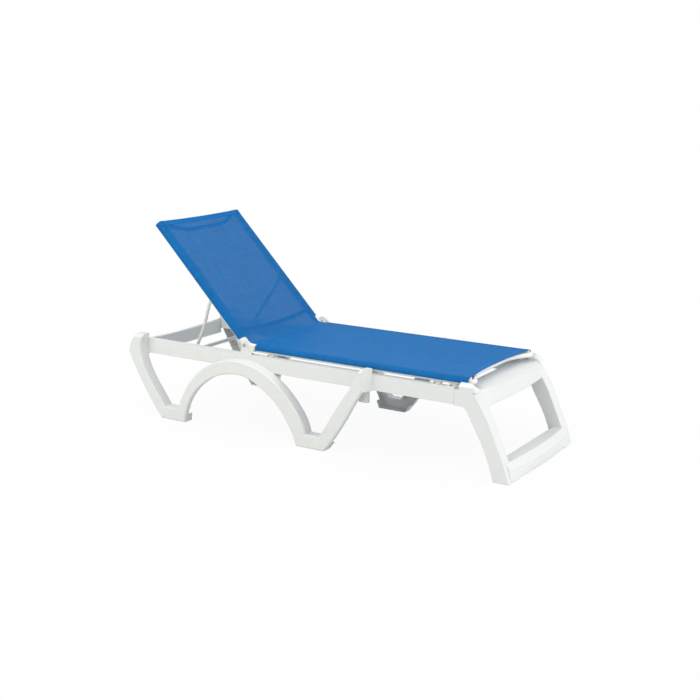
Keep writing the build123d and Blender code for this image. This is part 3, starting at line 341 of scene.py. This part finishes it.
def weave_shading_and_slubs(tree, place, weave):
    """Light and dark of the yarns: a painted highlight on the weave's crowns and painted shade in its
    dips, and the real streaks along both directions and patches.
    """
    slub = 1 / (SLUB * MM)
    streaks = []
    for stretch in ((slub, 6.0, 1.0), (6.0, slub, 1.0)):
        mapping = add(tree, "ShaderNodeMapping", {"Vector": place}, Scale=stretch)
        streaks.append(noise(tree, mapping.outputs[0], width=1.0, detail=2.0))
    speckle = noise(tree, place, width=SPECKLE * MM, detail=2.0)
    uneven = reckon(tree, "ADD", speckle, reckon(tree, "ADD", *streaks))
    return spread(tree, reckon(tree, "ADD", weave, uneven), From_Min=0.75, From_Max=2.25)


def woven_mesh(name, yarn, openness):
    """PVC-coated polyester yarn in a basket weave: round plastic yarns with a soft gloss and small square
    holes between them. The weave's height is sin(2 pi x / pitch) sin(2 pi y / pitch); its crowns carry a
    painted highlight and its dips painted shade. Slight streaks run along both directions, and the welded
    sleeves along the side rails are closed, and darker with painted shade of the rails beneath them."""
    made, tree = material(name)
    place = add(tree, "ShaderNodeUVMap", uv_map="cloth").outputs["UV"]
    pair = add(tree, "ShaderNodeSeparateXYZ", {"Vector": place})
    turns = 2 * math.pi / (YARN_PITCH * MM)
    waves = [reckon(tree, "SINE", reckon(tree, "MULTIPLY", pair.outputs[axis], turns)) for axis in "XY"]
    opening, single_and_unshaded = weave_opening(tree, waves, pair.outputs["X"], openness)
    weave = reckon(tree, "MULTIPLY", *waves)
    level = weave_shading_and_slubs(tree, place, weave)
    # Painted highlight on the weave's crowns and painted shade in its dips, with the yarns' real streaks
    # and patches
    shade = ramp(tree, level, shaded(yarn, share=0.66), shaded(yarn, share=1.3))
    painted_sleeve_shade = add(tree, "ShaderNodeVectorMath", {0: shade}, operation="SCALE")
    # Painted shade of the rails beneath the sleeves: the colour is darkened to 0.88 there
    tree.links.new(spread(tree, single_and_unshaded, To_Min=0.88, To_Max=1.0), painted_sleeve_shade.inputs["Scale"])
    bump = add(tree, "ShaderNodeBump", {"Height": weave}, Strength=0.35, Distance=0.0005)
    links = {"Base Color": painted_sleeve_shade.outputs[0], "Normal": bump.outputs[0]}
    shader = add(tree, "ShaderNodeBsdfPrincipled", links, Roughness=0.62, IOR=1.25)
    clear = add(tree, "ShaderNodeBsdfTransparent")
    show(tree, add(tree, "ShaderNodeMixShader", {0: opening, 1: shader.outputs[0], 2: clear.outputs[0]}))
    return made


resin = moulded_resin("moulded_polypropylene", "#E5E7E4", roughness=0.32)
thin_resin = moulded_resin("moulded_polypropylene_bar", "#E5E7E4", roughness=0.32, edge=0.0006)
fitting = moulded_resin("moulded_nylon", "#E6E6E1", roughness=0.5, edge=0.0015)
coat = powder_coat("white_powder_coat", "#EDEDE8")
zinc = zinc_steel("zinc_plated_steel")
cord = moulded_resin("extruded_pvc_cord", "#E9E6DA", roughness=0.5, edge=0.0005)
mesh_cloth = woven_mesh("coated_polyester_mesh", "#006CB2", openness=0.3)
hem_cloth = woven_mesh("welded_mesh_hem", "#006AB2", openness=0.0)

# A finish goes to the nodes whose name ends in one of its words
FINISHES = {
    resin: ("side_frame", "foot_end_frame"),
    thin_resin: ("head_crossbar",),
    fitting: ("rack", "bracket", "saddles", "plugs", "knuckle"),
    coat: ("rail", "tube", "bail"),
    zinc: ("screws", "bolts", "pivots"),
    cord: ("cords",),
}
for finish, words in FINISHES.items():
    for name, obj in nodes.items():
        if name.endswith(words):
            obj.data.materials.clear()
            obj.data.materials.append(finish)
sling.data.materials.append(mesh_cloth)
for hem in (foot_hem, head_hem):
    hem.data.materials.append(hem_cloth)

# Bodies
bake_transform(sling)
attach(foot_hem, "base")
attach(head_hem, "back")
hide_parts("sling_seat", "sling_back")


# Stage

FLOOR_RADIUS = 30000.0
FLOOR_DROP = 0.5
FLOOR_TURNS, FLOOR_RINGS = 97, 16


def stage_floor():
    """A flat disc on the ground. The camera sees it white, with a faint trace of the contact shadow
    that fades out between 0.8 and 1.6 m from the middle."""
    turns, rings = np.meshgrid(np.linspace(0, 2 * math.pi, FLOOR_TURNS),
                               np.linspace(0.0, FLOOR_RADIUS, FLOOR_RINGS), indexing="ij")
    points = np.stack([rings * np.cos(turns), rings * np.sin(turns), np.full_like(turns, -FLOOR_DROP)], -1)
    floor = grid_object("studio_floor", points)
    made, tree = material("matt_studio_floor")
    place = add(tree, "ShaderNodeTexCoord").outputs["Object"]
    far = add(tree, "ShaderNodeVectorMath", {0: place}, operation="LENGTH").outputs["Value"]
    fade = spread(tree, far, From_Min=0.8, From_Max=1.6, To_Min=0.94, To_Max=1.0)
    seen = add(tree, "ShaderNodeLightPath").outputs["Is Camera Ray"]
    part = reckon(tree, "MULTIPLY", fade, seen)
    matt = add(tree, "ShaderNodeBsdfDiffuse", Color=srgb("#E4E4E2"))
    white = add(tree, "ShaderNodeEmission", Strength=1.0)
    show(tree, add(tree, "ShaderNodeMixShader", {0: part, 1: matt.outputs[0], 2: white.outputs[0]}))
    floor.data.materials.append(made)


def studio_world():
    """Even white light, and plain white where the camera sees it."""
    world = bpy.data.worlds.new("soft_studio")
    bpy.context.scene.world = world
    world.use_nodes = True
    tree = world.node_tree
    tree.nodes.clear()
    rays = add(tree, "ShaderNodeLightPath")
    seen = reckon(tree, "MAXIMUM", rays.outputs["Is Camera Ray"], rays.outputs["Is Transmission Ray"])
    light = add(tree, "ShaderNodeBackground", Color=srgb("#FFFFFF"), Strength=0.84)
    white = add(tree, "ShaderNodeBackground", Color=srgb("#FFFFFF"), Strength=1.0)
    mix = add(tree, "ShaderNodeMixShader", {0: seen, 1: light.outputs[0], 2: white.outputs[0]})
    show(tree, mix, "ShaderNodeOutputWorld")


def soft_box(name, place, target, size, power, colour="#FFFFFF"):
    """A square soft box that faces a point. Places and size are in metres, its power in watts."""
    lamp = bpy.data.lights.new(name, "AREA")
    lamp.color = srgb(colour)[:3]
    lamp.shape, lamp.size, lamp.energy = "SQUARE", size, power
    place, target = Vector(place), Vector(target)
    facing = (target - place).to_track_quat("-Z", "Y").to_matrix().to_4x4()
    new_object(name, lamp).matrix_world = Matrix.Translation(place) @ facing


stage_floor()
studio_world()
soft_box("key_box", (-0.9, -1.7, 3.6), (-0.1, 0.0, 0.3), size=2.2, power=48.0)
soft_box("foot_box", (3.4, 0.0, 1.6), (0.5, 0.0, 0.2), size=1.8, power=32.0, colour="#F2F7FF")
soft_box("side_box", (-2.3, -3.1, 1.3), (-0.5, -0.3, 0.2), size=1.6, power=5.0, colour="#FFFBF2")

# Camera, as the photograph has it
CAMERA_PLACE = (2657.6, -4004.3, 1505.5)
CAMERA_TURN = math.radians(33.337)
CAMERA_TILT = math.radians(13.574)
CAMERA_ROLL = math.radians(-0.233)
SENSOR_WIDTH, FOCAL_LENGTH, CLIP_END = 36.0, 57.795, 100.0


def photo_camera():
    """Looks along turn and tilt. Right is level, up = right x ahead, and the roll then turns both."""
    level = math.cos(CAMERA_TILT)
    ahead = Vector((-math.sin(CAMERA_TURN) * level, math.cos(CAMERA_TURN) * level, -math.sin(CAMERA_TILT)))
    right = Vector((math.cos(CAMERA_TURN), math.sin(CAMERA_TURN), 0.0))
    up = right.cross(ahead)
    cos_roll, sin_roll = math.cos(CAMERA_ROLL), math.sin(CAMERA_ROLL)
    right, up = right * cos_roll + up * sin_roll, up * cos_roll - right * sin_roll
    lens = bpy.data.cameras.new("camera")
    lens.sensor_width, lens.lens, lens.clip_end = SENSOR_WIDTH, FOCAL_LENGTH, CLIP_END
    camera = new_object("camera", lens)
    basis = Matrix((right, up, -ahead)).transposed().to_4x4()
    camera.matrix_world = Matrix.Translation(Vector(CAMERA_PLACE) * MM) @ basis
    bpy.context.scene.camera = camera


photo_camera()
bpy.context.scene.view_settings.view_transform = "Standard"
